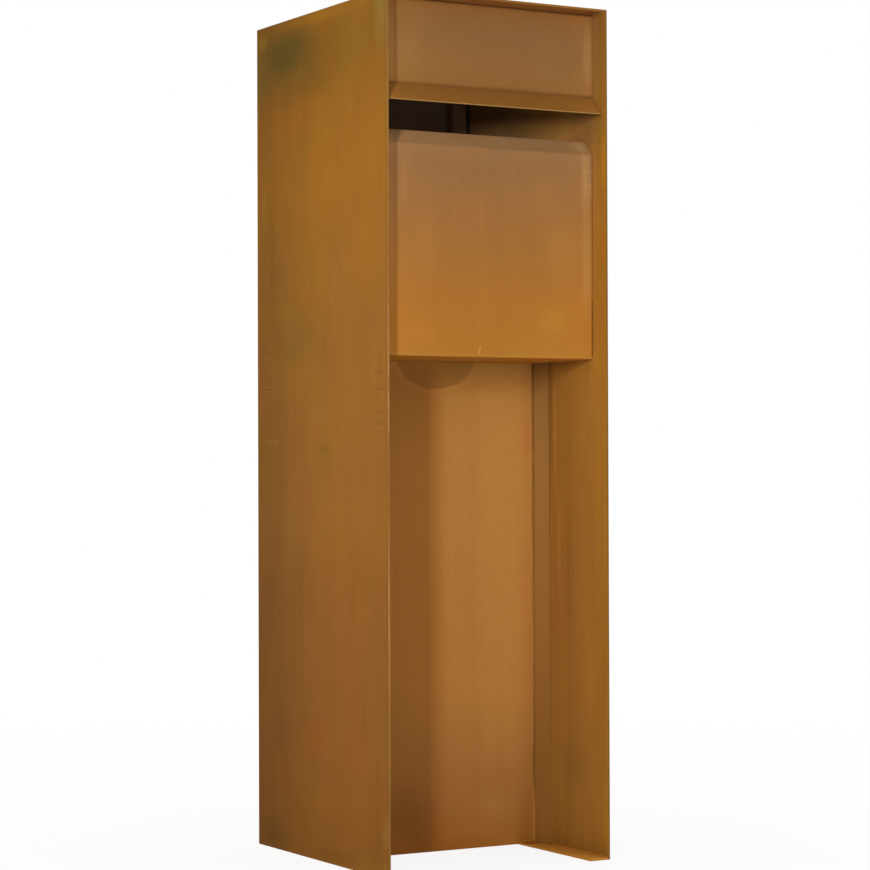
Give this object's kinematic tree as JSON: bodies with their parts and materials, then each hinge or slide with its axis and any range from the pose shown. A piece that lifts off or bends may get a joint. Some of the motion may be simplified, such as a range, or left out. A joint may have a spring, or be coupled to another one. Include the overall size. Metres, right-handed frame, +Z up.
{
  "type": "free-standing letterbox",
  "caption": "Tall weathering-steel letterbox on two side plates, with a hooded open letter slot, a cross web and a hinged rear door with a cam lock.",
  "frame": {"origin": "on the ground at the middle of the footprint, between the two side plates", "axes": "+Z up, -Y to the front with the letter slot, +Y to the rear door, +X to the right seen from the front"},
  "size_m": [0.356, 0.396, 1.2],
  "materials": {
    "rusted_plate": "weathering-steel plate with an even orange-brown rust patina",
    "rusted_sheet": "weathering-steel sheet with a streaked orange-brown rust patina",
    "hinge_steel": "rusted steel",
    "pin_steel": "dull bright steel",
    "washer_brass": "tarnished brass",
    "lock_nickel": "dulled nickel plate",
    "zinc_steel": "zinc-plated steel with light rust"
  },
  "bodies": {
    "root": {"side_plate_left": "rusted_plate", "side_plate_right": "rusted_plate", "roof_plate": "rusted_plate", "hood_front": "rusted_sheet", "box_tray": "rusted_sheet", "web_panel": "rusted_sheet", "foot_strip_left": "rusted_plate", "foot_strip_right": "rusted_plate", "door_stop_strip": "rusted_sheet", "hinge_lower_fixed_barrel": "hinge_steel", "hinge_lower_pin": "pin_steel", "hinge_upper_fixed_barrel": "hinge_steel", "hinge_upper_pin": "pin_steel", "hinge_washers": "washer_brass"},
    "door": {"rear_door": "rusted_plate", "hinge_lower_door_barrel": "hinge_steel", "hinge_upper_door_barrel": "hinge_steel", "lock_housing": "lock_nickel", "lock_nut": "zinc_steel"},
    "lock": {"lock_plug": "lock_nickel", "lock_cam": "zinc_steel", "cam_washer": "zinc_steel", "cam_screw": "zinc_steel"}
  },
  "joints": [
    {"name": "door_hinge", "type": "hinge", "parent": "root", "child": "door", "pos_m": [-0.1705, 0.1935, 1], "axis": [0, 0, 1], "range_deg": [0, 110]},
    {"name": "lock_turn", "type": "hinge", "parent": "door", "child": "lock", "pos_m": [0.122, 0.19, 0.95], "axis": [0, 1, 0], "range_deg": [0, 90]}
  ]
}
